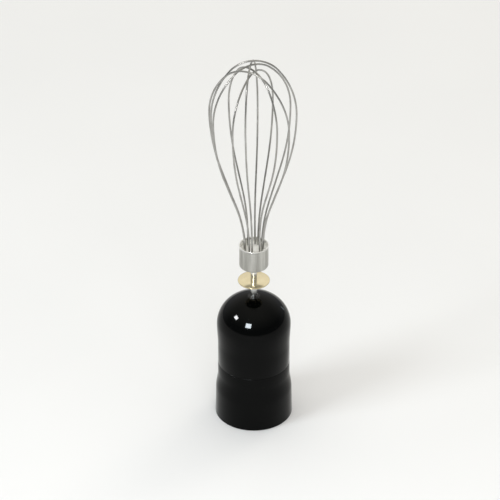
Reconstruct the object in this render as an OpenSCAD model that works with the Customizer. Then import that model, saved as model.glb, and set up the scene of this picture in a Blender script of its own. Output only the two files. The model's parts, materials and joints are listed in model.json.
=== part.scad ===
// Whisk attachment for a hand blender: a clip-on gearbox housing with a pull-out balloon whisk.
// The base rim stands on Z = 0 and the whole tool turns about the Z axis.
// Lengths are in millimetres, angles in degrees.

/* [Housing] */
// Radius of the housing at its bottom rim
base_r = 23.6; // [23:0.1:25]
// Radius of the housing at its waist
waist_r = 21.9; // [21.4:0.1:22.4]
// Radius of the dome where it is widest
dome_r = 22.5; // [22:0.1:23]
// Height of the plain band above the rim
band_h = 17.5; // [14:0.5:19]
// Height of the seam between base and dome
seam_z = 37; // [34:0.5:38]
// Height at which the dome is widest
shoulder_z = 64; // [62:0.5:68]
// Height of the top of the dome
apex_z = 84.3; // [83:0.1:86]
// Radius of the arc over the top of the dome
dome_crown_r = 24.2; // [23:0.1:27]
// Wall thickness of the dome
dome_wall = 2.4; // [2:0.1:3]

/* [Motor socket] */
// Radius of the socket that takes the motor unit's nose
socket_r = 19.3; // [18.5:0.1:19.6]
// Depth of the socket
socket_h = 18; // [14:1:20]

/* [Gearbox] */
// Gear module
gear_module = 0.7; // [0.68:0.01:0.7]
// Width of the planet gears
gear_face = 6; // [5:0.5:6]
// Amount by which each tooth flank is cut back
flank_gap = 0.05; // [0.04:0.01:0.08]

/* [Whisk] */
// Radius of the whisk's shaft
shaft_r = 2; // [1.8:0.1:2]
// Radius of the flange disc
disc_r = 9.7; // [9:0.1:11]
// Height of the flange disc's underside
disc_z = 94.9; // [90:0.1:98]
// Thickness of the flange disc
disc_h = 0.9; // [0.6:0.1:1.5]
// Radius of the steel collar
collar_r = 8.8; // [8.4:0.1:10]
// Height of the collar's lower end
collar_z = 106.2; // [104:0.1:110]
// Length of the collar
collar_h = 14.8; // [13:0.1:16]
// Wall thickness of the collar
collar_wall = 0.8; // [0.6:0.1:1]

/* [Wire loops] */
// Radius of the wire
wire_r = 0.55; // [0.5:0.05:0.65]
// Radius of the ring of wires inside the collar
neck_r = 5.6; // [5.5:0.1:5.8]
// Greatest half width of the widest loop
belly_r = 25.4; // [24:0.2:27]
// Height at which the loops are widest
belly_z = 210.5; // [208:0.5:214]
// Height of the tallest loop's crest, at the middle of its wire
crest_z = 247.5; // [245:0.5:250]
// Radius of the arc over the top of a loop
crest_r = 18.2; // [17:0.2:20]
// Slope of the straight legs away from the axis
leg_slope = 19.3; // [18.5:0.1:20]

/* [Hidden] */
$fn = 64;

// Clearances
run_gap = 0.06;    // turning or sliding fit, on the radius
seat_gap = 0.05;   // fixed fit, on the radius
press_gap = 0.02;  // press fit, on the radius
end_gap = 0.1;     // between faces that don't touch
spigot_gap = 0.15; // between the two shells, on the radius
play = 0.2;        // free play between moving faces
cut = 1;           // how far a cutter runs past the face it cuts
overlap = 0.5;     // how far two stretches of one piece run into each other

// Housing
seam_gap = 0.1;
seam_edge = 0.25;
waist_h = 12;      // height over which the rim band narrows to the waist
dome_foot_h = 13;  // straight stretch of the dome above the seam
web_h = 2.5;
cavity_r = 17.5;
spigot_r = 19;
well_r = 8;
well_wall = 1.6;

// Gear train: the ring stands still, the sun drives, the carrier turns the whisk
sun_teeth = 12;
planet_teeth = 15;
ring_teeth = sun_teeth + 2 * planet_teeth;
pressure_angle = 20;
planet_count = 3;
orbit_r = gear_module * (sun_teeth + planet_teeth) / 2;
addendum = 0.8 * gear_module;
dedendum = 1.25 * gear_module;
flank_steps = 4;
ring_h = 9;
ring_key_count = 3;

// Heights inside the housing
plate_z = 30.5;
plate_h = 2.5;
ring_z = plate_z + plate_h;
gear_z = 35.2;
carrier_z = gear_z + gear_face + play;
carrier_h = 3.5;
spigot_top = ring_z + ring_h + 1;

// Screws that hold the gear plate
screw_count = 3;
screw_r = 1.25;
screw_head_r = 2.3;
screw_head_h = 1.2;
screw_len = 8;
screw_orbit_r = 13.5;
screw_turn = 60;

// Input spindle and what sits on it
spindle_r = 1.9;
pilot_r = 1.4;
input_bush_r = 3.9;
star_h = 6.5;
clip_ring_h = 0.6;
clip_ring_z = ring_z + 0.35;

// Carrier, its hub and the hub's bearing
pin_r = 1.5;
carrier_r = 12.6;
hub_r = 4.5;
hub_shoulder_r = 7;
hub_shoulder_z = 59;
hub_top = 79;
bush_z = 60;
bush_h = 16;
bush_outer_r = hub_r + 2;
seal_r = 3.6;
seal_h = 2.5;

// Shaft
shaft_foot_z = 50;
shaft_top = collar_z + 6;
hex_r = 1.95;
hex_h = 8;
clip_z = 75;
clip_h = 0.8;
clip_groove_r = 3.2;
groove_depth = 0.3;

// Each loop: [azimuth, lean of its plane, drop of its crest, trim of its half width]
LOOPS = [
    [183.5, -0.7, 0.1, 0.3],
    [81, 0.8, 1.9, 2.8],
    [27, 1.4, 3.7, 0],
    [129, 0.5, 4.9, 2.9],
    [62, 0.4, 7.9, 0.3],
    [156.5, 4.1, 1.1, 0]];

// Wire loops
wire_foot_z = collar_z + 3;
wire_sides = 8;
flare_r = 90;      // arc that turns a wire out of the collar
flank_r = 121;     // arc below the widest place
wire_hole_gap = 0.05;

// Colours
steel = "gainsboro";
bronze = "peru";
nylon = "ivory";
black = [0.1, 0.1, 0.11];

// ---- outlines ----

// Points on an arc about [x, z], from angle a to angle b
function arc(x, z, r, a, b, steps = 10) =
    [for (i = [0:steps]) let (t = a + (b - a) * i / steps) [x + r * cos(t), z + r * sin(t)]];

// Points along an S-shaped change of radius, upright at both ends
function eased(r_low, z_low, r_high, z_high, steps = 8) =
    [for (i = [0:steps]) let (t = i / steps)
        [r_low + (r_high - r_low) * t * t * (3 - 2 * t), z_low + (z_high - z_low) * t]];

// Radius of the side arc that runs smoothly from upright at half width a
// into a crown arc of radius r whose top is h above the widest place
function side_arc_r(a, h, r) = (pow(h - r, 2) + pow(a - r, 2)) / (2 * (a - r)) + r;

// Angle at which that side arc hands over to the crown arc
function side_arc_end(a, h, r) = atan((h - r) / (side_arc_r(a, h, r) - a));

// Half outline of a dome, from its widest place up to the axis
function dome_outline(a, z, top, r) =
    let (side = side_arc_r(a, top - z, r), end = side_arc_end(a, top - z, r))
    concat(arc(a - side, z, side, 0, end, 14), arc(0, top - r, r, end, 90, 10));

// ---- gears ----

function involute(angle) = tan(angle) * 180 / PI - angle;

// Half the angle that a tooth takes up at radius r
function tooth_half_angle(teeth, r, gap) =
    let (pitch_r = gear_module * teeth / 2, pressure = acos(min(1, pitch_r * cos(pressure_angle) / r)))
    90 / teeth + involute(pressure_angle) - involute(pressure) - gap / r * 180 / PI;

function tooth_flank(teeth, root_r, tip_r, gap) =
    let (base_circle = gear_module * teeth / 2 * cos(pressure_angle), start = max(base_circle, root_r))
    concat(
        root_r < start ? [[root_r, tooth_half_angle(teeth, start, gap)]] : [],
        [for (i = [0:flank_steps])
            let (r = start + (tip_r - start) * i / flank_steps)
            [r, tooth_half_angle(teeth, r, gap)]]);

// Outline of a gear with one tooth centred on the X axis
function gear_outline(teeth, root_r, tip_r, gap) =
    let (flank = tooth_flank(teeth, root_r, tip_r, gap), last = len(flank) - 1)
    [for (k = [0:teeth - 1], side = [-1, 1], i = [0:last])
        let (p = flank[side < 0 ? i : last - i], turn = 360 * k / teeth + side * p[1])
        [p[0] * cos(turn), p[0] * sin(turn)]];

module spur_gear(teeth, bore_r) {
    pitch_r = gear_module * teeth / 2;
    difference() {
        linear_extrude(gear_face)
            polygon(gear_outline(teeth, pitch_r - dedendum, pitch_r + addendum, flank_gap));
        translate([0, 0, -cut])
            cylinder(r = bore_r, h = gear_face + 2 * cut);
    }
}

// ---- simple shapes ----

// Ring of rectangular section, standing on height z
module ring(outer_r, inner_r, z, h) {
    translate([0, 0, z])
        difference() {
            cylinder(r = outer_r, h = h);
            translate([0, 0, -cut])
                cylinder(r = inner_r, h = h + 2 * cut);
        }
}

module rod(r, z, h) {
    translate([0, 0, z])
        cylinder(r = r, h = h);
}

// Copies around the axis
module around(count, radius, turn = 0) {
    for (k = [0:count - 1])
        rotate([0, 0, turn + 360 * k / count])
            translate([radius, 0, 0])
                children();
}

// ---- housing ----

module coupling_base() {
    edge = 0.6;
    band_draft = 0.4;
    band_r = base_r - band_draft;
    web_top = socket_h + web_h;
    boss_r = 2.8;
    key_w = 3.2;
    key_depth = 0.9;
    latch_w = 8;
    latch_h = 4;
    latch_z = 9;
    latch_depth = 1.5;
    color(black)
        difference() {
            union() {
                rotate_extrude()
                    polygon(concat(
                        [[socket_r, 0]],
                        arc(base_r - edge, edge, edge, -90, 0, 4),
                        eased(band_r, band_h, waist_r, band_h + waist_h),
                        [[waist_r, seam_z - seam_edge], [waist_r - seam_edge, seam_z],
                         [spigot_r, seam_z], [spigot_r, spigot_top],
                         [cavity_r, spigot_top], [cavity_r, web_top],
                         [well_r + well_wall, web_top], [well_r + well_wall, plate_z],
                         [well_r, plate_z], [well_r, socket_h],
                         [socket_r, socket_h]]));
                around(screw_count, screw_orbit_r, screw_turn)
                    rod(boss_r, web_top - overlap, plate_z - web_top + overlap);
            }
            around(screw_count, screw_orbit_r, screw_turn)
                rod(screw_r + seat_gap, plate_z - screw_len, screw_len + cut);
            around(ring_key_count, cavity_r)
                translate([-cut, -key_w / 2, ring_z])
                    cube([cut + key_depth, key_w, spigot_top]);
            around(2, socket_r)
                translate([-cut, -latch_w / 2, latch_z])
                    cube([cut + latch_depth, latch_w, latch_h]);
        }
}

module dome_cover() {
    foot_z = seam_z + seam_gap;
    inner_r = spigot_r + spigot_gap;
    inner_apex = apex_z - dome_wall;
    inner_crown_r = dome_crown_r - dome_wall;
    boss_wall = 2;
    boss_drop = 1;
    boss_h = inner_apex - boss_drop - bush_z;
    color(black)
        difference() {
            union() {
                difference() {
                    rotate_extrude()
                        polygon(concat(
                            [[0, foot_z], [waist_r - seam_edge, foot_z], [waist_r, foot_z + seam_edge]],
                            eased(waist_r, foot_z + dome_foot_h, dome_r, shoulder_z),
                            dome_outline(dome_r, shoulder_z, apex_z, dome_crown_r)));
                    rotate_extrude()
                        polygon(concat(
                            [[0, seam_z - cut], [inner_r, seam_z - cut]],
                            dome_outline(inner_r, shoulder_z, inner_apex, inner_crown_r)));
                }
                ring(bush_outer_r + boss_wall, bush_outer_r + seat_gap, bush_z, boss_h);
            }
            rod(seal_r + seat_gap, bush_z, apex_z);
        }
}

module shaft_seal() {
    color("dimgray")
        ring(seal_r, shaft_r + run_gap, apex_z - seal_h - end_gap, seal_h);
}

module output_bush() {
    color(bronze)
        ring(bush_outer_r, hub_r + run_gap, bush_z, bush_h);
}

module thrust_washer() {
    washer_h = 0.8;
    color(steel)
        ring(bush_outer_r + 1, hub_r + play, hub_shoulder_z + end_gap, washer_h);
}

// ---- gearbox ----

module gear_plate() {
    hole_gap = 0.1;
    color("slategray")
        difference() {
            ring(cavity_r - seat_gap, input_bush_r + seat_gap, plate_z, plate_h);
            around(screw_count, screw_orbit_r, screw_turn) {
                rod(screw_r + hole_gap, plate_z - cut, plate_h + 2 * cut);
                rod(screw_head_r + hole_gap, ring_z - screw_head_h - hole_gap, screw_head_h + cut);
            }
        }
}

module gear_plate_screws() {
    key_r = 1;
    key_depth = 0.7;
    head_z = ring_z - screw_head_h - seat_gap;
    color(steel)
        around(screw_count, screw_orbit_r, screw_turn)
            difference() {
                union() {
                    rod(screw_head_r, head_z, screw_head_h);
                    rod(screw_r, ring_z - screw_len, head_z - ring_z + screw_len + end_gap);
                }
                translate([0, 0, ring_z - key_depth])
                    cylinder(r = key_r, h = key_depth + cut, $fn = 6);
            }
}

module ring_gear() {
    key_w = 3;
    key_depth = 0.8;
    pitch_r = gear_module * ring_teeth / 2;
    color(nylon)
        difference() {
            union() {
                rod(cavity_r - end_gap, ring_z, ring_h);
                around(ring_key_count, cavity_r)
                    translate([-cut, -key_w / 2, ring_z + end_gap])
                        cube([cut + key_depth, key_w, ring_h - end_gap]);
            }
            translate([0, 0, ring_z - cut])
                linear_extrude(ring_h + 2 * cut)
                    polygon(gear_outline(ring_teeth, pitch_r - addendum, pitch_r + dedendum, -flank_gap));
        }
}

module drive_coupling() {
    below_plate = 2;
    bottom = socket_h + overlap;
    top = plate_z - below_plate;
    head_r = 6.6;
    neck_r = 4;
    core_r = 3.2;
    lobe_r = 5;
    lobe_w = 1.8;
    lobe_count = 6;
    color("dimgray")
        difference() {
            union() {
                rod(head_r, bottom, star_h + 1);
                rod(neck_r, bottom, top - bottom);
            }
            translate([0, 0, bottom - cut]) {
                cylinder(r = core_r, h = star_h + cut);
                for (k = [0:lobe_count - 1])
                    rotate([0, 0, 360 * k / lobe_count])
                        translate([0, -lobe_w / 2, 0])
                            cube([lobe_r, lobe_w, star_h + cut]);
            }
            rod(spindle_r + seat_gap, bottom, top);
        }
}

module input_spindle() {
    foot_z = socket_h + star_h + overlap + play;
    top_z = gear_z + gear_face;
    pilot_h = 3;
    color(steel)
        difference() {
            union() {
                rod(spindle_r, foot_z, top_z - foot_z);
                rod(pilot_r, top_z - overlap, pilot_h + overlap);
            }
            ring(spindle_r + cut, spindle_r - groove_depth, clip_ring_z - seat_gap, clip_ring_h + end_gap);
        }
}

module input_bush() {
    below = 0.8;
    color(bronze)
        ring(input_bush_r, spindle_r + run_gap, plate_z - below, plate_h + below);
}

module input_washer() {
    washer_h = 0.6;
    below_plate = 1.8;
    color(steel)
        ring(input_bush_r - end_gap, spindle_r + run_gap, plate_z - below_plate, washer_h);
}

module input_circlip() {
    outer_r = 3.4;
    slot_w = 1.6;
    color(steel)
        difference() {
            ring(outer_r, spindle_r - groove_depth + end_gap, clip_ring_z, clip_ring_h);
            translate([0, -slot_w / 2, clip_ring_z - cut])
                cube([outer_r + cut, slot_w, clip_ring_h + 2 * cut]);
        }
}

module sun_gear() {
    color(steel)
        translate([0, 0, gear_z])
            spur_gear(sun_teeth, spindle_r + press_gap);
}

// The planets stand one to each third of a turn
module planet_gear(k) {
    color(nylon)
        rotate([0, 0, 360 * k / planet_count])
            translate([orbit_r, 0, gear_z])
                spur_gear(planet_teeth, pin_r + run_gap);
}

module planet_pin(k) {
    below = 1.4;
    above = 3;
    color(steel)
        rotate([0, 0, 360 * k / planet_count])
            translate([orbit_r, 0, 0])
                rod(pin_r, gear_z - below, gear_face + below + above);
}

module carrier_plate() {
    thick = 1.1;
    bore_r = 4.4;
    color(steel)
        difference() {
            ring(carrier_r, bore_r, gear_z - thick - play, thick);
            around(planet_count, orbit_r)
                rod(pin_r + press_gap, gear_z - thick - cut, thick + 2 * cut);
        }
}

module carrier() {
    pin_hole_h = 2.9;
    pilot_hole_h = 3.2;
    hex_gap = 0.12;
    carrier_top = carrier_z + carrier_h;
    color("silver")
        difference() {
            union() {
                rod(carrier_r, carrier_z, carrier_h);
                rod(hub_shoulder_r, carrier_top - overlap, hub_shoulder_z - carrier_top + overlap);
                rod(hub_r, hub_shoulder_z - overlap, hub_top - hub_shoulder_z + overlap);
            }
            around(planet_count, orbit_r)
                rod(pin_r + press_gap, carrier_z - cut, cut + pin_hole_h);
            rod(pilot_r + run_gap, carrier_z - cut, cut + pilot_hole_h);
            translate([0, 0, shaft_foot_z - end_gap])
                cylinder(r = hex_r + hex_gap, h = hex_h + cut, $fn = 6);
            rod(shaft_r + run_gap, shaft_foot_z + hex_h, hub_top);
            rod(clip_groove_r, clip_z - end_gap, clip_h + 2 * end_gap);
        }
}

module shaft_clip() {
    slot_w = 1.4;
    color(steel)
        difference() {
            ring(clip_groove_r - end_gap, shaft_r + run_gap, clip_z, clip_h);
            translate([0, -slot_w / 2, clip_z - cut])
                cube([clip_groove_r + cut, slot_w, clip_h + 2 * cut]);
        }
}

// ---- whisk ----

module whisk_shaft() {
    round_z = shaft_foot_z + hex_h;
    color(steel)
        difference() {
            union() {
                translate([0, 0, shaft_foot_z])
                    cylinder(r = hex_r, h = hex_h + overlap, $fn = 6);
                rod(shaft_r, round_z, shaft_top - round_z);
            }
            ring(shaft_r + cut, shaft_r - groove_depth, clip_z - end_gap, clip_h + 2 * end_gap);
        }
}

module flange_disc() {
    color("wheat")
        ring(disc_r, shaft_r + press_gap, disc_z, disc_h);
}

module whisk_collar() {
    edge = 1;
    lip = 0.3;
    lip_h = 1.2;
    chamfer = 0.2;
    top = collar_z + collar_h;
    bore_r = shaft_r + seat_gap;
    inner_r = collar_r - collar_wall;
    color(steel)
        rotate_extrude()
            polygon(concat(
                [[bore_r, collar_z]],
                arc(collar_r - edge, collar_z + edge, edge, -90, 0, 5),
                [[collar_r, top - lip_h], [collar_r + lip, top - lip], [collar_r + lip - chamfer, top],
                 [inner_r + chamfer, top], [inner_r, top - 3 * chamfer],
                 [inner_r, collar_z + collar_wall], [bore_r, collar_z + collar_wall]]));
}

module collar_plug() {
    bottom = collar_z + collar_wall;
    below_rim = 3;
    top = collar_z + collar_h - below_rim;
    color("darkgray")
        difference() {
            rod(collar_r - collar_wall - seat_gap, bottom, top - bottom);
            rod(shaft_r + press_gap, bottom - cut, shaft_top - bottom + cut + end_gap);
            for (loop = LOOPS)
                in_loop_plane(loop)
                    for (side = [-1, 1])
                        translate([side * neck_r, 0, wire_foot_z])
                            cylinder(r = wire_r + wire_hole_gap, h = collar_h);
        }
}

// ---- wire loops ----

// Right half of a loop's middle line in the XZ plane, from its foot in the collar to its crest:
// a stub, a flare, a straight leg, a flank up to the widest place, a side and a crown
function half_loop(a, top) =
    let (
        side = side_arc_r(a, top - belly_z, crest_r),
        side_end = side_arc_end(a, top - belly_z, crest_r),
        leg_foot_x = neck_r + flare_r * (1 - cos(leg_slope)),
        leg_top_x = a - flank_r * (1 - cos(leg_slope)),
        leg_foot_z = belly_z - flank_r * sin(leg_slope) - (leg_top_x - leg_foot_x) / tan(leg_slope),
        neck_z = leg_foot_z - flare_r * sin(leg_slope))
    concat(
        [[neck_r, wire_foot_z]],
        arc(neck_r + flare_r, neck_z, flare_r, 180, 180 - leg_slope, 5),
        arc(a - flank_r, belly_z, flank_r, -leg_slope, 0, 6),
        [for (p = arc(a - side, belly_z, side, 0, side_end, 8)) if (p[1] > belly_z) p],
        [for (p = arc(0, top - crest_r, crest_r, side_end, 90, 9))
            if (p[0] < crest_r * cos(side_end) - 0.01) p]);

// The whole middle line, from the right foot over the crest to the left foot
function loop_line(a, top) =
    let (half = half_loop(a, top), last = len(half) - 1)
    concat(half, [for (i = [1:last]) [-half[last - i][0], half[last - i][1]]]);

// Direction of the line at point i
function line_direction(line, i) =
    let (d = line[min(i + 1, len(line) - 1)] - line[max(i - 1, 0)])
    d / norm(d);

// Wire of round section along a line in the XZ plane
module swept_wire(line) {
    last = len(line) - 1;
    points = [for (i = [0:last]) let (d = line_direction(line, i))
        for (k = [0:wire_sides - 1]) let (t = 360 * k / wire_sides)
            [line[i][0] - d[1] * wire_r * cos(t), wire_r * sin(t), line[i][1] + d[0] * wire_r * cos(t)]];
    skin = [for (i = [0:last - 1], k = [0:wire_sides - 1]) let (n = (k + 1) % wire_sides)
        [i * wire_sides + k, i * wire_sides + n, (i + 1) * wire_sides + n, (i + 1) * wire_sides + k]];
    foot = [for (k = [0:wire_sides - 1]) wire_sides - 1 - k];
    end = [for (k = [0:wire_sides - 1]) last * wire_sides + k];
    polyhedron(points, concat(skin, [foot, end]));
}

// A loop stands in a plane through the axis that leans about the feet of its wire
module in_loop_plane(loop) {
    rotate([0, 0, loop[0]])
        translate([0, 0, wire_foot_z])
            rotate([-loop[1], 0, 0])
                translate([0, 0, -wire_foot_z])
                    children();
}

module wire_loop(loop) {
    color(steel)
        in_loop_plane(loop)
            swept_wire(loop_line(belly_r - loop[3], crest_z - loop[2]));
}

coupling_base();
dome_cover();
gear_plate();
gear_plate_screws();
ring_gear();
drive_coupling();
input_spindle();
input_bush();
input_washer();
input_circlip();
sun_gear();
for (k = [0:planet_count - 1]) {
    planet_gear(k);
    planet_pin(k);
}
carrier();
carrier_plate();
output_bush();
thrust_washer();
shaft_clip();
shaft_seal();
whisk_shaft();
flange_disc();
whisk_collar();
collar_plug();
for (k = [0:len(LOOPS) - 1])
    wire_loop(LOOPS[k]);
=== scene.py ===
"""Looks of a hand blender's whisk attachment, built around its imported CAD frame. Lengths are in metres.

The shells, the seal, the star coupling, the shaft, the disc, the collar and the wires are finer pieces that
stand for their CAD nodes. The gearbox and the collar's core keep their CAD shapes and get their looks here.
"""
import json
import math

import bmesh
import bpy
import numpy as np
from mathutils import Matrix, Vector


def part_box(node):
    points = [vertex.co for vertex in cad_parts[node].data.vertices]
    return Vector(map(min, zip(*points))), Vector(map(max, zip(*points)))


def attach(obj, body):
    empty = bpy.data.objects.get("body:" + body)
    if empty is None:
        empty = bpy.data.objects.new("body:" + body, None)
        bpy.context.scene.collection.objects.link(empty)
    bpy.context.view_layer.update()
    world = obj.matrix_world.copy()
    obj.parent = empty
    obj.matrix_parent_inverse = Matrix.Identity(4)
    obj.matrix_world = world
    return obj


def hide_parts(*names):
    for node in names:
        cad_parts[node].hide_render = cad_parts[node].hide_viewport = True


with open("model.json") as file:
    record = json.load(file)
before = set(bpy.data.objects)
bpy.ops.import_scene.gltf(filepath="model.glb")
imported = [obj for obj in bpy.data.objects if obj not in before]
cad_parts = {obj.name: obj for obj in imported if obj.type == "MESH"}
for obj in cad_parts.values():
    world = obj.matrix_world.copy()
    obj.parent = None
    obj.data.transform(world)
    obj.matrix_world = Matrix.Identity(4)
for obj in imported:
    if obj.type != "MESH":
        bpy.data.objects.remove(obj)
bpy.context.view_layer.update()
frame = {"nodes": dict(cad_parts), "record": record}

MM = 0.001
TURN = 2 * math.pi
FINE = 160          # steps round a large turned piece
MEDIUM = 72         # steps round a small turned piece
SHARP = math.radians(35)
ON_AXIS = 1e-7      # a smaller radius than this counts as a point on the axis


# ---------------------------------------------------------------- outlines

def top_of(node):
    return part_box(node)[1].z


def foot_of(node):
    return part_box(node)[0].z


def radius_of(node):
    """Radius of a round node that stands on the Z axis."""
    low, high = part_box(node)
    return (high.x - low.x) / 2


def arc(x, z, radius, start, end, steps):
    """Points on an arc in the outline plane; the angles are in degrees."""
    angles = [math.radians(start + (end - start) * i / steps) for i in range(steps + 1)]
    return [(x + radius * math.cos(a), z + radius * math.sin(a)) for a in angles]


def eased(r_low, z_low, r_high, z_high, steps=14):
    """An S-shaped change of radius between two heights, upright at both ends."""
    points = []
    for i in range(steps + 1):
        t = i / steps
        ease = t * t * (3 - 2 * t)
        points.append((r_low + (r_high - r_low) * ease, z_low + (z_high - z_low) * t))
    return points


def softened(outline, radius, steps=4):
    """A closed outline with each of its clear corners rounded by about that radius."""
    most = 0.45     # share of a side that one corner may take
    points = []
    count = len(outline)
    for i, corner in enumerate(outline):
        here = Vector(corner)
        back = Vector(outline[i - 1]) - here
        ahead = Vector(outline[(i + 1) % count]) - here
        if here.x < ON_AXIS or back.angle(-ahead) < SHARP:
            points.append(tuple(here))
            continue
        reach = min(radius, back.length * most, ahead.length * most)
        a = here + back.normalized() * reach
        b = here + ahead.normalized() * reach
        for k in range(steps + 1):
            t = k / steps
            p = a * (1 - t) ** 2 + here * 2 * t * (1 - t) + b * t * t
            points.append(tuple(p))
    return points


# ---------------------------------------------------------------- meshes

def new_object(name, mesh):
    thing = bpy.data.objects.new(name, mesh)
    bpy.context.scene.collection.objects.link(thing)
    return thing


def from_bmesh(name, bm):
    bmesh.ops.recalc_face_normals(bm, faces=bm.faces)
    mesh = bpy.data.meshes.new(name)
    bm.to_mesh(mesh)
    bm.free()
    smooth(mesh)
    return new_object(name, mesh)


def smooth(mesh):
    mesh.polygons.foreach_set("use_smooth", [True] * len(mesh.polygons))
    mesh.set_sharp_from_angle(angle=SHARP)


def lathe(name, outline, steps=FINE):
    """A solid turned about the Z axis from a closed outline of (radius, height) points."""
    bm = bmesh.new()
    rings = []
    for r, z in outline:
        if r < ON_AXIS:
            rings.append([bm.verts.new((0, 0, z))] * steps)
            continue
        angles = [TURN * i / steps for i in range(steps)]
        rings.append([bm.verts.new((r * math.cos(a), r * math.sin(a), z)) for a in angles])
    for k, ring in enumerate(rings):
        following = rings[(k + 1) % len(rings)]
        for i in range(steps):
            n = (i + 1) % steps
            corners = [ring[i], ring[n], following[n], following[i]]
            corners = list(dict.fromkeys(corners))
            if len(corners) > 2:
                bm.faces.new(corners)
    return from_bmesh(name, bm)


def prism(name, outline, low, high):
    """A straight solid from a closed outline of (x, y) points, between two heights."""
    bm = bmesh.new()
    foot = [bm.verts.new((x, y, low)) for x, y in outline]
    head = [bm.verts.new((x, y, high)) for x, y in outline]
    bm.faces.new(foot)
    bm.faces.new(head)
    for i in range(len(outline)):
        n = (i + 1) % len(outline)
        bm.faces.new([foot[i], foot[n], head[n], head[i]])
    return from_bmesh(name, bm)


def circle(radius, steps, x=0.0, y=0.0):
    """Points of a circle or a regular polygon."""
    angles = [TURN * i / steps for i in range(steps)]
    return [(x + radius * math.cos(a), y + radius * math.sin(a)) for a in angles]


def rod(name, radius, low, high, x=0.0, y=0.0):
    return prism(name, circle(radius, MEDIUM, x, y), low, high)


def block(name, x, y, z):
    """A box between pairs of limits."""
    return prism(name, [(x[0], y[0]), (x[1], y[0]), (x[1], y[1]), (x[0], y[1])], z[0], z[1])


def combine(body, tools, operation):
    """Adds the tools to the body or cuts them out of it, and removes them."""
    for tool in tools:
        step = body.modifiers.new("combine", "BOOLEAN")
        step.operation = operation
        step.solver = "EXACT"
        step.object = tool
        bpy.context.view_layer.update()
        made = bpy.data.meshes.new_from_object(body.evaluated_get(bpy.context.evaluated_depsgraph_get()))
        body.modifiers.clear()
        body.data = made
        bpy.data.objects.remove(tool)
    smooth(body.data)
    return body


def turned(point, angle):
    """A point turned about the Z axis by degrees."""
    a = math.radians(angle)
    x, y = point
    return x * math.cos(a) - y * math.sin(a), x * math.sin(a) + y * math.cos(a)


def sweep(name, line, side, radius, steps=16):
    """A round wire along a flat line; side is the direction across the line's plane."""
    bm = bmesh.new()
    layer = bm.loops.layers.uv.new("along")
    rings, runs = [], [0.0]
    last = len(line) - 1
    for i, here in enumerate(line):
        ahead = (line[min(i + 1, last)] - line[max(i - 1, 0)]).normalized()
        across = side.cross(ahead)
        angles = [TURN * k / steps for k in range(steps)]
        spokes = [across * math.cos(a) + side * math.sin(a) for a in angles]
        rings.append([bm.verts.new(here + radius * spoke) for spoke in spokes])
        if i:
            runs.append(runs[-1] + (here - line[i - 1]).length)
    for i in range(last):
        for k in range(steps):
            n = (k + 1) % steps
            face = bm.faces.new([rings[i][k], rings[i][n], rings[i + 1][n], rings[i + 1][k]])
            places = [(k, i), (k + 1, i), (k + 1, i + 1), (k, i + 1)]
            for corner, (around, along) in zip(face.loops, places):
                corner[layer].uv = (around / steps, runs[along])
    bm.faces.new(rings[0])
    bm.faces.new(rings[-1])
    return from_bmesh(name, bm)


# ---------------------------------------------------------------- material nodes

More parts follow.
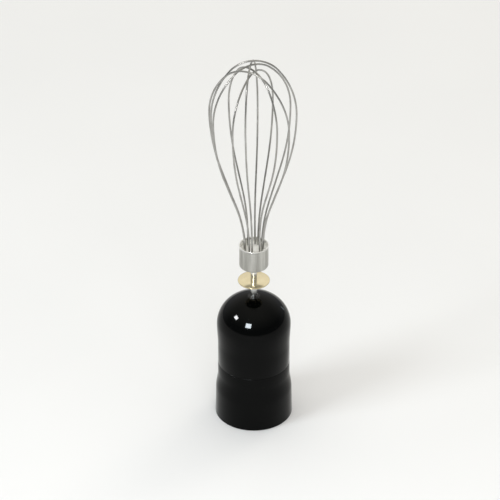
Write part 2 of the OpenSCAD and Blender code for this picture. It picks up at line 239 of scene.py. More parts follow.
class Finish:
    """A material with short calls for the nodes that its colour, roughness and relief need."""

    def __init__(self, name, colour, metallic=0.0, roughness=0.4, **sockets):
        self.material = bpy.data.materials.new(name)
        self.material.use_nodes = True
        self.material.diffuse_color = (*colour, 1)
        self.tree = self.material.node_tree
        self.shader = self.tree.nodes["Principled BSDF"]
        self.shader.inputs["Base Color"].default_value = (*colour, 1)
        self.shader.inputs["Metallic"].default_value = metallic
        self.shader.inputs["Roughness"].default_value = roughness
        for socket, value in sockets.items():
            self.shader.inputs[socket.replace("_", " ")].default_value = value
        self.place = self.tree.nodes.new("ShaderNodeTexCoord").outputs["Object"]

    def link(self, source, target):
        self.tree.links.new(source, target)

    def stretched(self, source=None, x=1.0, y=1.0, z=1.0):
        """Coordinates scaled along each axis, so that a texture runs longer one way."""
        node = self.tree.nodes.new("ShaderNodeMapping")
        node.inputs["Scale"].default_value = (x, y, z)
        self.link(source or self.place, node.inputs["Vector"])
        return node.outputs["Vector"]

    def around_axis(self, per_turn=1.0, per_metre=1.0):
        """Coordinates (radius, angle, height) about the Z axis, so that a texture can run round it."""
        parts = self.tree.nodes.new("ShaderNodeSeparateXYZ")
        self.link(self.place, parts.inputs[0])
        angle = self.math("ARCTAN2", parts.outputs["Y"], parts.outputs["X"])
        squares = self.math("ADD", self.math("POWER", parts.outputs["X"], 2.0),
                            self.math("POWER", parts.outputs["Y"], 2.0))
        join = self.tree.nodes.new("ShaderNodeCombineXYZ")
        self.link(self.math("MULTIPLY", self.math("SQRT", squares), per_metre), join.inputs["X"])
        self.link(self.math("MULTIPLY", angle, per_turn), join.inputs["Y"])
        self.link(self.math("MULTIPLY", parts.outputs["Z"], per_metre), join.inputs["Z"])
        return join.outputs["Vector"]

    def math(self, operation, a, b=None):
        node = self.tree.nodes.new("ShaderNodeMath")
        node.operation = operation
        for socket, value in zip(node.inputs, (a, b)):
            if isinstance(value, bpy.types.NodeSocket):
                self.link(value, socket)
            elif value is not None:
                socket.default_value = value
        return node.outputs[0]

    def noise(self, scale, vector=None, detail=3.0, roughness=0.5):
        node = self.tree.nodes.new("ShaderNodeTexNoise")
        node.inputs["Scale"].default_value = scale
        node.inputs["Detail"].default_value = detail
        node.inputs["Roughness"].default_value = roughness
        self.link(vector or self.place, node.inputs["Vector"])
        return node.outputs["Fac"]

    def specks(self, scale, size):
        """1 in small scattered spots and 0 elsewhere."""
        node = self.tree.nodes.new("ShaderNodeTexVoronoi")
        node.inputs["Scale"].default_value = scale
        self.link(self.place, node.inputs["Vector"])
        return self.between(node.outputs["Distance"], size, size * 0.5, 0.0, 1.0)

    def between(self, value, low, high, out_low, out_high):
        """The value's range low to high turned into the range out_low to out_high."""
        node = self.tree.nodes.new("ShaderNodeMapRange")
        node.clamp = True
        for name, number in zip(("From Min", "From Max", "To Min", "To Max"), (low, high, out_low, out_high)):
            node.inputs[name].default_value = number
        self.link(value, node.inputs["Value"])
        return node.outputs["Result"]

    def colour(self, factor, first, second):
        """The base colour goes from the first to the second colour with the factor."""
        node = self.tree.nodes.new("ShaderNodeMix")
        node.data_type = "RGBA"
        node.inputs["A"].default_value = (*first, 1)
        node.inputs["B"].default_value = (*second, 1)
        self.link(factor, node.inputs["Factor"])
        self.link(node.outputs["Result"], self.shader.inputs["Base Color"])

    def roughness(self, value):
        self.link(value, self.shader.inputs["Roughness"])

    def relief(self, height, distance, strength=1.0):
        """Bumps of that height in metres. A second call lies on top of the first."""
        node = self.tree.nodes.new("ShaderNodeBump")
        node.inputs["Strength"].default_value = strength
        node.inputs["Distance"].default_value = distance
        self.link(height, node.inputs["Height"])
        socket = self.shader.inputs["Normal"]
        if socket.is_linked:
            self.link(socket.links[0].from_socket, node.inputs["Normal"])
        self.link(node.outputs["Normal"], socket)

    def grain_round_axis(self):
        """The brushed grain runs round the Z axis."""
        node = self.tree.nodes.new("ShaderNodeTangent")
        node.direction_type = "RADIAL"
        node.axis = "Z"
        self.link(node.outputs["Tangent"], self.shader.inputs["Tangent"])


# ---------------------------------------------------------------- materials

BLACK = (0.0009, 0.0011, 0.0010)


def gloss_black():
    """Polished black moulding: a soft ripple of the mould, hairline wipe marks, a little dust."""
    look = Finish("gloss_black", BLACK, roughness=0.06, Specular_IOR_Level=0.085)
    wipes = look.noise(900, look.stretched(x=1, y=1, z=0.12), detail=4, roughness=0.65)
    dust = look.specks(420, 0.07)
    cloudy = look.noise(60, detail=4)
    worn = look.between(wipes, 0.45, 0.85, 0.0, 0.09)
    haze = look.between(cloudy, 0.35, 0.75, 0.035, 0.075)
    rough = look.math("ADD", look.math("ADD", worn, haze), look.math("MULTIPLY", dust, 0.25))
    look.roughness(rough)
    look.colour(look.math("MULTIPLY", dust, 0.5), BLACK, (0.03, 0.03, 0.029))
    look.relief(look.noise(55, detail=1), 0.00012, 0.25)
    look.relief(wipes, 0.000004, 0.35)
    return look.material


def brushed_steel():
    """Stainless steel with fine turning lines round the axis, and broad upright streaks painted into its
    colour as reflections of the room.
    """
    look = Finish("brushed_steel", (0.46, 0.455, 0.44), metallic=1.0, roughness=0.25, Anisotropic=0.7)
    round_axis = look.around_axis(per_turn=0.02, per_metre=1.0)
    lines = look.noise(9000, round_axis, detail=3, roughness=0.6)
    cloudy = look.noise(220, detail=3)
    look.roughness(look.math("ADD", look.between(lines, 0.3, 0.7, 0.22, 0.36),
                             look.between(cloudy, 0.3, 0.7, -0.03, 0.05)))
    # painted reflection: light and dark upright streaks in the base colour stand in for the room mirrored in
    # the wall
    streaks = look.noise(1.0, look.around_axis(per_turn=3.2, per_metre=25), detail=3, roughness=0.6)
    look.colour(look.between(streaks, 0.35, 0.65, 0.0, 1.0), (0.33, 0.325, 0.30), (0.52, 0.515, 0.485))
    look.relief(lines, 0.000012, 0.5)
    look.grain_round_axis()
    return look.material


def collar_steel_painted_bright():
    """The collar's rolled lip and its inside: the collar's steel painted brighter than the brushed wall, as
    painted light on the mouth.
    """
    # painted light: a brighter, partly matt copy of the collar steel stands in for the light caught by the
    # lip and the inside
    look = Finish("collar_steel_painted_bright", (0.93, 0.925, 0.90), metallic=0.75, roughness=0.2)
    lines = look.noise(7000, look.around_axis(per_turn=0.02), detail=3)
    cloudy = look.noise(260, detail=3)
    look.roughness(look.math("ADD", look.between(lines, 0.3, 0.7, 0.14, 0.24),
                             look.between(cloudy, 0.3, 0.7, -0.02, 0.04)))
    look.colour(look.between(cloudy, 0.35, 0.7, 0.0, 1.0), (0.95, 0.945, 0.92), (0.88, 0.875, 0.85))
    look.relief(lines, 0.000008, 0.4)
    return look.material


def polished_steel():
    """Ground and polished stainless shaft with faint grinding lines round it."""
    look = Finish("polished_steel", (0.72, 0.72, 0.70), metallic=1.0, roughness=0.24)
    lines = look.noise(12000, look.around_axis(per_turn=0.01), detail=2)
    smear = look.noise(300, detail=4)
    look.roughness(look.math("ADD", look.between(lines, 0.3, 0.7, 0.18, 0.26),
                             look.between(smear, 0.4, 0.7, 0.0, 0.08)))
    look.colour(smear, (0.68, 0.68, 0.66), (0.76, 0.76, 0.74))
    look.relief(lines, 0.000004, 0.4)
    return look.material


def wire_steel():
    """Drawn stainless wire: die lines along the wire, small dull patches."""
    look = Finish("wire_steel", (0.40, 0.395, 0.38), metallic=1.0, roughness=0.25)
    run = look.tree.nodes.new("ShaderNodeUVMap")
    run.uv_map = "along"
    lines = look.noise(28, look.stretched(run.outputs["UV"], x=1.0, y=3.0), detail=3)
    patches = look.noise(150, detail=4)
    look.roughness(look.math("ADD", look.between(lines, 0.3, 0.7, 0.2, 0.3),
                             look.between(patches, 0.4, 0.75, 0.0, 0.12)))
    look.colour(look.between(patches, 0.35, 0.7, 0.0, 1.0), (0.43, 0.425, 0.41), (0.31, 0.305, 0.29))
    look.relief(lines, 0.000012, 0.5)
    return look.material


def pale_disc():
    """Steel, nearly a mirror, with faint turning rings; its pale gold colour is a painted reflection of a
    warm wall.
    """
    # painted reflection: the pale gold base colour stands in for a warm wall mirrored in plain steel
    look = Finish("pale_disc", (0.78, 0.68, 0.46), metallic=1.0, roughness=0.16)
    rings = look.noise(7000, look.around_axis(per_turn=0.01), detail=2)
    tint = look.noise(140, detail=3)
    look.roughness(look.math("ADD", look.between(rings, 0.3, 0.7, 0.11, 0.19),
                             look.between(tint, 0.3, 0.7, -0.02, 0.04)))
    look.colour(look.between(tint, 0.3, 0.7, 0.0, 1.0), (0.80, 0.71, 0.49), (0.75, 0.65, 0.43))
    look.relief(rings, 0.000006, 0.4)
    return look.material


def core_painted_bright():
    """The core that fills the collar, painted near white and nearly matt as painted light for the bright
    collar mouth.
    """
    # painted light: the near white colour stands in for the light that fills the collar's mouth
    look = Finish("core_painted_bright", (0.92, 0.91, 0.88), metallic=0.1, roughness=0.35)
    grain = look.noise(2500, detail=4, roughness=0.6)
    stain = look.noise(320, detail=3)
    look.roughness(look.between(grain, 0.3, 0.7, 0.3, 0.45))
    look.colour(look.between(stain, 0.4, 0.7, 0.0, 1.0), (0.93, 0.92, 0.89), (0.80, 0.79, 0.75))
    look.relief(grain, 0.00003, 0.4)
    return look.material


def turned_steel():
    """Plain machined steel of the inner pins, plates and screws."""
    look = Finish("turned_steel", (0.5, 0.5, 0.49), metallic=1.0, roughness=0.35)
    lines = look.noise(5000, look.stretched(x=1, y=1, z=0.08), detail=3)
    stain = look.noise(260, detail=4)
    look.roughness(look.between(lines, 0.3, 0.7, 0.28, 0.42))
    look.colour(look.between(stain, 0.4, 0.7, 0.0, 1.0), (0.52, 0.52, 0.51), (0.40, 0.395, 0.385))
    look.relief(lines, 0.00001, 0.4)
    return look.material


def sintered_bronze():
    """Oil-filled bronze bush with its open grain."""
    look = Finish("sintered_bronze", (0.42, 0.26, 0.12), metallic=1.0, roughness=0.45)
    grain = look.noise(6000, detail=4, roughness=0.7)
    pores = look.specks(2600, 0.25)
    look.roughness(look.between(grain, 0.3, 0.7, 0.38, 0.55))
    look.colour(look.math("MULTIPLY", pores, 0.6), (0.44, 0.28, 0.13), (0.16, 0.10, 0.05))
    look.relief(grain, 0.00002, 0.5)
    return look.material


def acetal():
    """Natural acetal gears: off white, waxy, with faint mould flow."""
    look = Finish("acetal", (0.80, 0.78, 0.70), roughness=0.38,
                  Subsurface_Weight=0.15, Subsurface_Scale=0.001)
    flow = look.noise(180, look.stretched(x=1, y=1, z=0.4), detail=4)
    grain = look.noise(4000, detail=2)
    look.roughness(look.between(grain, 0.3, 0.7, 0.33, 0.45))
    look.colour(look.between(flow, 0.35, 0.7, 0.0, 1.0), (0.82, 0.80, 0.72), (0.74, 0.72, 0.63))
    look.relief(grain, 0.000012, 0.3)
    return look.material


def dark_plastic():
    """Glass-filled nylon of the coupling and gear plate, with a spark-eroded texture."""
    look = Finish("dark_plastic", (0.035, 0.035, 0.037), roughness=0.5)
    grain = look.noise(3800, detail=4, roughness=0.65)
    fibres = look.noise(900, look.stretched(x=1, y=0.15, z=1), detail=2)
    look.roughness(look.between(grain, 0.3, 0.7, 0.42, 0.6))
    look.colour(look.between(fibres, 0.55, 0.8, 0.0, 1.0), (0.032, 0.032, 0.034), (0.07, 0.07, 0.072))
    look.relief(grain, 0.00003, 0.5)
    return look.material


def seal_rubber():
    """Black nitrile rubber with a shiny moulded skin."""
    look = Finish("seal_rubber", (0.003, 0.003, 0.003), roughness=0.16, Specular_IOR_Level=0.5)
    skin = look.noise(3000, detail=4, roughness=0.6)
    look.roughness(look.between(skin, 0.3, 0.7, 0.12, 0.22))
    look.colour(look.between(skin, 0.4, 0.7, 0.0, 1.0), (0.002, 0.002, 0.002), (0.006, 0.006, 0.006))
    look.relief(skin, 0.00002, 0.5)
    return look.material


def pale_ground():
    """Plain pale ground with a fine weave."""
    look = Finish("pale_ground", (0.87, 0.87, 0.885), roughness=0.85)
    weave = look.noise(1400, detail=3)
    clouds = look.between(look.noise(6, detail=2), 0.3, 0.7, 0.0, 1.0)
    look.colour(clouds, (0.88, 0.88, 0.895), (0.86, 0.86, 0.875))
    look.relief(weave, 0.0001, 0.15)
    return look.material


# ---------------------------------------------------------------- the housing

SEAT_GAP = 0.05 * MM      # fixed fit, on the radius
SOFT_EDGE = 0.15 * MM     # rounding of a moulded edge
FINE_EDGE = 0.05 * MM     # rounding of a ground or trimmed edge
WALL_R = radius_of("coupling_base")
WAIST_R = 21.9 * MM
SEAM_GAP = 0.1 * MM
SEAM_Z = foot_of("dome_cover") - SEAM_GAP
SEAM_BEVEL = 0.12 * MM
DOME_R = radius_of("dome_cover")
SEAL_BORE_R = radius_of("shaft_seal") + SEAT_GAP
SHOULDER_Z = 64.0 * MM
CROWN_R = 24.2 * MM
DOME_TOP = top_of("dome_cover") + CROWN_R - math.sqrt(CROWN_R ** 2 - SEAL_BORE_R ** 2)
DOME_WALL = 2.4 * MM
SPIGOT_R = 19.0 * MM
SPIGOT_TOP = top_of("coupling_base")
PLATE_Z = foot_of("gear_plate")
RING_Z = foot_of("ring_gear")
CAVITY_R = radius_of("gear_plate") + SEAT_GAP
SCREW_ORBIT = 13.5 * MM


def mount(name):
    """One of the record's mounts, by its name."""
    return next(m for m in frame["record"]["mounts"] if m["name"] == name)


def base_outline(socket_r, socket_h):
    """The base turned shape: rim, plain band, flare, waist, spigot, gearbox floor, socket."""
    rim_edge = 0.6 * MM
    band_draft = 0.4 * MM
    band_top = 17.5 * MM
    flare_h = 12.0 * MM
    web_top = socket_h + 2.5 * MM
    well_r = 8.0 * MM
    well_outer_r = 9.6 * MM
    lead_in = 0.5 * MM
    outer = arc(WALL_R - rim_edge, rim_edge, rim_edge, -90, 0, 6)
    outer += eased(WALL_R - band_draft, band_top, WAIST_R, band_top + flare_h)
    outer += arc(WAIST_R - SEAM_BEVEL, SEAM_Z - SEAM_BEVEL, SEAM_BEVEL, 0, 90, 4)
    inner = [(SPIGOT_R, SEAM_Z), (SPIGOT_R, SPIGOT_TOP), (CAVITY_R, SPIGOT_TOP), (CAVITY_R, web_top),
             (well_outer_r, web_top), (well_outer_r, PLATE_Z), (well_r, PLATE_Z), (well_r, socket_h),
             (socket_r, socket_h), (socket_r, lead_in), (socket_r + lead_in, 0)]
    return softened(outer + inner, SOFT_EDGE)


def coupling_base(look):
    socket = mount("motor_socket")["dims"]
    socket_r, socket_h = socket["r_mm"] * MM, socket["length_mm"] * MM
    boss_r = 2.8 * MM
    bore_r = 1.3 * MM
    bore_h = 8.0 * MM
    key_w = 3.2 * MM
    key_depth = 0.9 * MM
    latch_w, latch_h, latch_z, latch_depth = 8.0 * MM, 4.0 * MM, 9.0 * MM, 1.5 * MM
    floor = socket_h + 2.0 * MM
    shell = lathe("coupling_base_shell", base_outline(socket_r, socket_h))
    bosses, bores, keys, latches = [], [], [], []
    for k in range(3):
        x, y = turned((SCREW_ORBIT, 0), 60 + 120 * k)
        bosses.append(rod("boss", boss_r, floor, PLATE_Z, x, y))
        bores.append(rod("bore", bore_r, PLATE_Z - bore_h, PLATE_Z + MM, x, y))
        key = block("key", (CAVITY_R - MM, CAVITY_R + key_depth), (-key_w / 2, key_w / 2),
                    (RING_Z, SPIGOT_TOP + MM))
        keys.append(spun(key, 120 * k))
    for k in range(2):
        latch = block("latch", (socket_r - MM, socket_r + latch_depth), (-latch_w / 2, latch_w / 2),
                      (latch_z, latch_z + latch_h))
        latches.append(spun(latch, 180 * k))
    combine(shell, bosses, "UNION")
    combine(shell, bores + keys + latches, "DIFFERENCE")
    return finished(shell, look, "housing", "coupling_base")


def dome_arcs(half_width, top, crown_r):
    """A dome's outline from its widest place up: a side arc that runs smoothly into the crown arc."""
    steps = 40
    rise = top - SHOULDER_Z
    side_r = ((rise - crown_r) ** 2 + (half_width - crown_r) ** 2) / (2 * (half_width - crown_r)) + crown_r
    end = math.degrees(math.atan((rise - crown_r) / (side_r - half_width)))
    side = arc(half_width - side_r, SHOULDER_Z, side_r, 0, end, steps)
    return side + arc(0, top - crown_r, crown_r, end, 90, steps)[1:]


def crown_height(radius, top, crown_r):
    return top - crown_r + math.sqrt(crown_r ** 2 - radius ** 2)


def dome_outline():
    """The cover's turned shape: outside from the seam up, seal bore, bush boss, inside back down."""
    spigot_gap = 0.15 * MM
    boss_wall = 1.95 * MM
    straight_h = 13.0 * MM
    inner_r = SPIGOT_R + spigot_gap
    inner_crown_r = CROWN_R - DOME_WALL
    inner_top = DOME_TOP - DOME_WALL
    bush_bore_r = radius_of("output_bush") + SEAT_GAP
    boss_r = bush_bore_r + boss_wall
    boss_foot = foot_of("output_bush")
    bore_top = crown_height(bush_bore_r, inner_top, inner_crown_r)
    foot = SEAM_Z + SEAM_GAP
    outer = arc(WAIST_R - SEAM_BEVEL, foot + SEAM_BEVEL, SEAM_BEVEL, -90, 0, 4)
    outer += eased(WAIST_R, foot + straight_h, DOME_R, SHOULDER_Z)[:-1]
    outer += [p for p in dome_arcs(DOME_R, DOME_TOP, CROWN_R) if p[0] > SEAL_BORE_R]
    outer += [(SEAL_BORE_R, crown_height(SEAL_BORE_R, DOME_TOP, CROWN_R))]
    bore = [(SEAL_BORE_R, crown_height(SEAL_BORE_R, inner_top, inner_crown_r)), (bush_bore_r, bore_top),
            (bush_bore_r, boss_foot), (boss_r, boss_foot)]
    inside = [p for p in dome_arcs(inner_r, inner_top, inner_crown_r) if p[0] > boss_r]
    inside += [(boss_r, crown_height(boss_r, inner_top, inner_crown_r))]
    return softened(outer + bore + inside[::-1] + [(inner_r, foot)], SOFT_EDGE)


def dome_cover(look):
    return finished(lathe("dome_cover_shell", dome_outline()), look, "housing", "dome_cover")


def shaft_seal(look):
    """A moulded lip seal: flat body, a groove, and a round bead that hugs the shaft."""
    low, high = foot_of("shaft_seal"), top_of("shaft_seal")
    outer_r = radius_of("shaft_seal")
    run_gap = 0.06 * MM
    bead = 0.42 * MM
    groove = 0.5 * MM
    flat_z = high - 0.1 * MM
    flat_w = 0.3 * MM
    relief = 0.2 * MM
    lip_r = radius_of("whisk_shaft") + run_gap
    waist = lip_r + relief
    outline = [(waist, low), (outer_r, low), (outer_r, flat_z), (outer_r - flat_w, flat_z),
               (lip_r + 2 * bead, high - groove)]
    outline += arc(lip_r + bead, high - bead, bead, 0, 180, 10)[1:]
    outline += [(lip_r, high - groove - bead), (waist, high - groove - 2 * bead)]
    seal = lathe("shaft_lip_seal", softened(outline, FINE_EDGE), MEDIUM)
    return finished(seal, look, "housing", "shaft_seal")


# ---------------------------------------------------------------- the drive

def drive_coupling(look):
    """The female star coupling with chamfered mouth, as the motor unit's spindle finds it."""
    low, high = foot_of("drive_coupling"), top_of("drive_coupling")
    star_h = 6.5 * MM
    head_top = low + star_h + MM
    mouth_foot = low - 0.1 * MM
    head_r = radius_of("drive_coupling")
    neck_r = 4.0 * MM
    bore_r = radius_of("input_spindle") + SEAT_GAP
    edge = 0.4 * MM
    outline = [(bore_r, low), (head_r - edge, low), (head_r, low + edge), (head_r, head_top),
               (neck_r, head_top), (neck_r, high), (bore_r, high)]
    piece = lathe("drive_star_coupling", softened(outline, SOFT_EDGE), MEDIUM)
    arm_w, arm_r, core_r = 1.8 * MM, 5.0 * MM, 3.2 * MM
    arms = []
    for k in range(6):
        arm = block("arm", (0, arm_r), (-arm_w / 2, arm_w / 2), (low - MM, low + star_h))
        arms.append(spun(arm, 60 * k))
    funnel = [(0, mouth_foot), (core_r + edge, mouth_foot), (core_r, low + edge), (0, low + edge)]
    mouth = lathe("mouth", funnel, MEDIUM)
    core = rod("core", core_r, low - MM, low + star_h)
    combine(piece, [core, mouth] + arms, "DIFFERENCE")
    return finished(piece, look, "input", "drive_coupling")


# ---------------------------------------------------------------- the whisk

def whisk_shaft(look):
    """Hexagonal foot, clip groove and ground round shaft with chamfered ends."""
    low, high = foot_of("whisk_shaft"), top_of("whisk_shaft")
    shaft_r = radius_of("whisk_shaft")
    hex_r = 1.95 * MM
    hex_h = 8.0 * MM
    hex_flat_r = hex_r * 0.86
    shoulder = 0.25 * MM
    hex_overlap = 0.5 * MM
    clip_play = 0.1 * MM
    groove_low = foot_of("shaft_clip") - clip_play
    groove_high = top_of("shaft_clip") + clip_play
    groove_r = shaft_r - 0.3 * MM
    tip = 0.3 * MM
    outline = [(0, low + hex_h), (hex_flat_r, low + hex_h), (shaft_r, low + hex_h + shoulder),
               (shaft_r, groove_low), (groove_r, groove_low), (groove_r, groove_high), (shaft_r, groove_high),
               (shaft_r, high - tip), (shaft_r - tip, high), (0, high)]
    shaft = lathe("ground_shaft", softened(outline, FINE_EDGE), MEDIUM)
    foot = prism("hexagon", circle(hex_r, 6), low, low + hex_h + hex_overlap)
    combine(shaft, [foot], "UNION")
    return finished(shaft, look, "whisk", "whisk_shaft")


def flange_disc(look):
    """Thin pressed disc with a rounded edge."""
    low, high = foot_of("flange_disc"), top_of("flange_disc")
    outer_r = radius_of("flange_disc")
    bore_r = 2.02 * MM
    thick = high - low
    edge = arc(outer_r - thick / 2, low + thick / 2, thick / 2, -90, 90, 10)
    outline = [(bore_r, low)] + edge + [(bore_r, high)]
    disc = lathe("thin_flange_disc", outline, FINE)
    return finished(disc, look, "whisk", "flange_disc")


def whisk_collar(look, inside_look):
    """Spun steel cup: rounded foot, straight wall, and a mouth that flares into a rounded lip.

    The lip and the inside have a look of their own: the same steel painted brighter, as painted light.
    """
    low, high = foot_of("whisk_collar"), top_of("whisk_collar")
    lip_r = radius_of("whisk_collar")
    flare = 0.3 * MM
    wall_r = lip_r - flare
    wall = 0.8 * MM
    bore_r = 2.05 * MM
    edge = 1.0 * MM
    flare_h = 1.3 * MM
    lip = wall / 2
    inner_r = wall_r - wall
    outer = [(bore_r, low)] + arc(wall_r - edge, low + edge, edge, -90, 0, 8)
    outer += eased(wall_r, high - lip - flare_h, lip_r, high - lip, 8)
    outer += arc(lip_r - lip, high - lip, lip, 0, 180, 10)[1:]
    inner = eased(lip_r - wall, high - lip, inner_r, high - lip - flare_h, 8)[1:]
    inner += arc(inner_r - edge / 2, low + wall + edge / 2, edge / 2, 0, -90, 5)
    inner += [(bore_r, low + wall)]
    cup = lathe("steel_collar", outer + inner, FINE)
    finished(cup, look, "whisk", "whisk_collar")
    cup.data.materials.append(inside_look)
    # painted light: faces that look towards the axis or lie on the lip get the brighter painted copy of the
    # steel
    for face in cup.data.polygons:
        spot = face.center
        towards_axis = face.normal.x * spot.x + face.normal.y * spot.y < 0
        face.material_index = int(towards_axis or spot.z > high - lip)
    return cup


def wire_line(node):
    """A wire's middle line and the direction across its plane, read from its eight-sided CAD solid."""
    corners = {tuple(round(c, 7) for c in v.co) for v in frame["nodes"][node].data.vertices}
    points = np.array(sorted(corners))
    level = 0.02    # share of the wire's radius within which corners count as level
    side = np.linalg.eigh(np.cov(points.T))[1][:, 0]
    heights = points @ side
    wire_r = float(heights.max() - heights.min()) / 2
    ridge = points[heights > heights.max() - level * wire_r] - side * wire_r
    across = np.cross(side, (0, 0, 1))
    across /= np.linalg.norm(across)
    upward = np.cross(across, side)
    pivot = ridge[np.argmax(np.abs(ridge @ across))] @ upward
    turns = np.arctan2(ridge @ across, pivot - ridge @ upward) % TURN
    return [Vector(p) for p in ridge[np.argsort(turns)]], Vector(side), wire_r


def smoothed(line, parts=5):
    """Points on a smooth curve through the line's points."""
    last = len(line) - 1
    points = []
    for i in range(last):
        a, b = line[i], line[i + 1]
        span = (b - a).length
        leave = (b - line[max(i - 1, 0)]).normalized() * span
        arrive = (line[min(i + 2, last)] - a).normalized() * span
        for k in range(parts):
            t = k / parts
            points.append(a * (2 * t ** 3 - 3 * t ** 2 + 1) + leave * (t ** 3 - 2 * t ** 2 + t)
                          + b * (3 * t ** 2 - 2 * t ** 3) + arrive * (t ** 3 - t ** 2))
    return points + [line[last]]


def wire_loop(number, look):
    node = f"wire_loop_{number}"
    line, side, wire_r = wire_line(node)
    wire = sweep(f"round_wire_{number}", smoothed(line), side, wire_r)
    return finished(wire, look, "whisk", node)


# ---------------------------------------------------------------- putting it together

def spun(thing, angle):
    """Turns a new piece about the Z axis."""
    thing.data.transform(Matrix.Rotation(math.radians(angle), 4, "Z"))
    return thing


def finished(piece, look, body, node):
    """Gives a new piece its look and the body that it moves with, and hides the CAD node that it stands for.
    """
    piece.data.materials.clear()
    piece.data.materials.append(look)
    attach(piece, body)
    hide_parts(node)
    return piece


def dress(look, *nodes):
    """Gives CAD nodes a new material in their objects' own slots."""
    for node in nodes:
        thing = frame["nodes"][node]
        if not thing.material_slots:
            thing.data.materials.append(None)
        for place in thing.material_slots:
            place.link = "OBJECT"
            place.material = look


def build():
    black = gloss_black()
    steel = turned_steel()
    bronze = sintered_bronze()
    nylon = acetal()
    dark = dark_plastic()
    wire = wire_steel()
    coupling_base(black)
    dome_cover(black)
    shaft_seal(seal_rubber())
    drive_coupling(dark)
    whisk_shaft(polished_steel())
    flange_disc(pale_disc())
    whisk_collar(brushed_steel(), collar_steel_painted_bright())
    for number in range(1, 7):
        wire_loop(number, wire)
    dress(dark, "gear_plate")
    dress(nylon, "ring_gear", "planet_gear_1", "planet_gear_2", "planet_gear_3")
    dress(bronze, "input_bush", "output_bush")
    dress(steel, "gear_plate_screws", "input_washer", "thrust_washer", "input_spindle", "input_circlip",
          "sun_gear", "carrier", "carrier_plate", "planet_pin_1", "planet_pin_2", "planet_pin_3",
          "shaft_clip")
    dress(core_painted_bright(), "collar_plug")


# ---------------------------------------------------------------- ground, light and camera

BLACK_PIECES = ("coupling_base_shell", "dome_cover_shell", "shaft_lip_seal")
LIT_POINT = Vector((0, 0, 0.07))    # the dome, which the lights face

# the room's colour at each height above the horizon, 0 at the horizon and 1 overhead
FRONT_TONES = ((0.0, (0.22, 0.23, 0.24)), (0.3, (0.20, 0.21, 0.22)),
               (0.65, (0.55, 0.55, 0.52)), (0.95, (1.0, 0.98, 0.90)))
BACK_TONES = ((0.0, (0.35, 0.36, 0.38)), (0.2, (0.62, 0.63, 0.64)),
              (0.55, (0.98, 0.96, 0.90)), (0.95, (1.0, 0.98, 0.90)))


def ground(look):
    half = 3.0
    bm = bmesh.new()
    corners = [bm.verts.new((x * half, y * half, 0)) for x, y in ((-1, -1), (1, -1), (1, 1), (-1, 1))]
    bm.faces.new(corners)
    floor = from_bmesh("pale_floor", bm)
    floor.data.materials.append(look)


def aim(thing, target):
    thing.rotation_euler = (Vector(target) - thing.location).to_track_quat("-Z", "Y").to_euler()


def window(name, direction, size, power, colour, distance=2.0, mirrored=True, lights=True, only_on=()):
    """A rectangular light in that direction.

    It is mirrored in glossy surfaces, lights matt ones, or both. Where only_on names pieces, it falls on
    those pieces and on nothing else.
    """
    light = bpy.data.lights.new(name, "AREA")
    light.shape = "RECTANGLE"
    light.size, light.size_y = size
    light.energy = power
    light.color = colour
    thing = new_object(name, light)
    thing.visible_glossy = mirrored
    thing.visible_diffuse = lights
    thing.location = Vector(direction).normalized() * distance + LIT_POINT
    aim(thing, LIT_POINT)
    if only_on:
        lit = bpy.data.collections.new(name)
        for piece in only_on:
            lit.objects.link(bpy.data.objects[piece])
        thing.light_linking.receiver_collection = lit


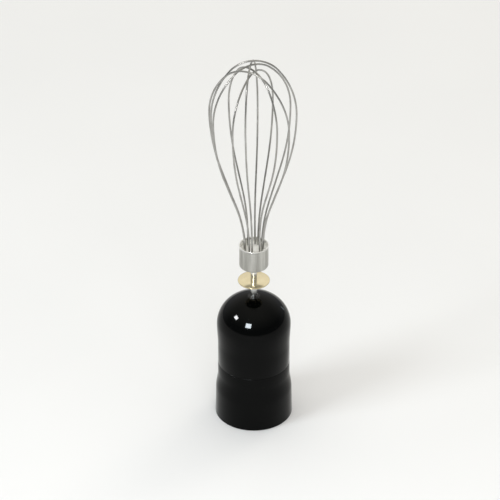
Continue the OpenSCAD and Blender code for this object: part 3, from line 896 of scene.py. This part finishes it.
def room():
    """A quiet room: darker in front, a pale wall behind, a bright warm ceiling."""
    world = bpy.data.worlds.new("room")
    bpy.context.scene.world = world
    world.use_nodes = True
    tree = world.node_tree
    place = tree.nodes.new("ShaderNodeTexCoord")
    parts = tree.nodes.new("ShaderNodeSeparateXYZ")
    tree.links.new(place.outputs["Generated"], parts.inputs[0])
    front = height_tones(tree, parts.outputs["Z"], FRONT_TONES)
    behind = height_tones(tree, parts.outputs["Z"], BACK_TONES)
    turn = tree.nodes.new("ShaderNodeMapRange")
    turn.interpolation_type = "SMOOTHSTEP"
    turn.inputs["From Min"].default_value = -0.1
    turn.inputs["From Max"].default_value = 0.7
    tree.links.new(parts.outputs["Y"], turn.inputs["Value"])
    mix = tree.nodes.new("ShaderNodeMix")
    mix.data_type = "RGBA"
    tree.links.new(turn.outputs["Result"], mix.inputs["Factor"])
    tree.links.new(front, mix.inputs["A"])
    tree.links.new(behind, mix.inputs["B"])
    tree.links.new(mix.outputs["Result"], tree.nodes["Background"].inputs["Color"])


def height_tones(tree, height, stops):
    """A colour that runs through the stops with the height."""
    ramp = tree.nodes.new("ShaderNodeValToRGB")
    tree.links.new(height, ramp.inputs["Fac"])
    for k, (at, tone) in enumerate(stops):
        stop = ramp.color_ramp.elements[k] if k < 2 else ramp.color_ramp.elements.new(at)
        stop.position = at
        stop.color = (*tone, 1)
    return ramp.outputs["Color"]


def camera():
    """Long lens from in front, about 2 m away and 33.5 degrees above the horizon."""
    elevation = math.radians(33.5)
    distance = 2.133
    aim_point = Vector((-0.0023, 0, 0.1171))
    view = bpy.data.cameras.new("camera")
    view.lens = 256.5
    view.sensor_width = 36
    thing = new_object("camera", view)
    thing.location = aim_point + distance * Vector((0, -math.cos(elevation), math.sin(elevation)))
    aim(thing, aim_point)
    bpy.context.scene.camera = thing


build()
ground(pale_ground())
FROM_FRONT = (-0.278, -0.78, 0.561)
FROM_LEFT = (-0.763, -0.145, 0.63)
FROM_BEHIND = (0.695, 0.719, 0.013)
window("front window", FROM_FRONT, (0.58, 0.56), 130, (0.86, 0.94, 1.0), lights=False, only_on=BLACK_PIECES)
window("left window", FROM_LEFT, (0.42, 0.34), 62, (0.97, 0.98, 1.0), lights=False, only_on=BLACK_PIECES)
window("far window", FROM_BEHIND, (0.08, 0.60), 0.6, (0.80, 0.90, 1.0), lights=False)
window("steel glint", FROM_FRONT, (0.44, 0.34), 15, (1.0, 1.0, 1.0), lights=False)
window("soft key", (-0.72, -0.38, 0.58), (0.7, 0.7), 15, (0.91, 0.97, 1.0), mirrored=False)
window("soft front", (0.15, -0.85, 0.5), (0.3, 0.3), 0.9, (0.97, 0.98, 1.0), distance=0.6, mirrored=False)
window("soft fill", (0.60, 0.72, 0.60), (0.7, 0.7), 4.5, (1.0, 0.93, 0.82), mirrored=False)
room()
camera()
bpy.context.scene.view_settings.view_transform = "Standard"
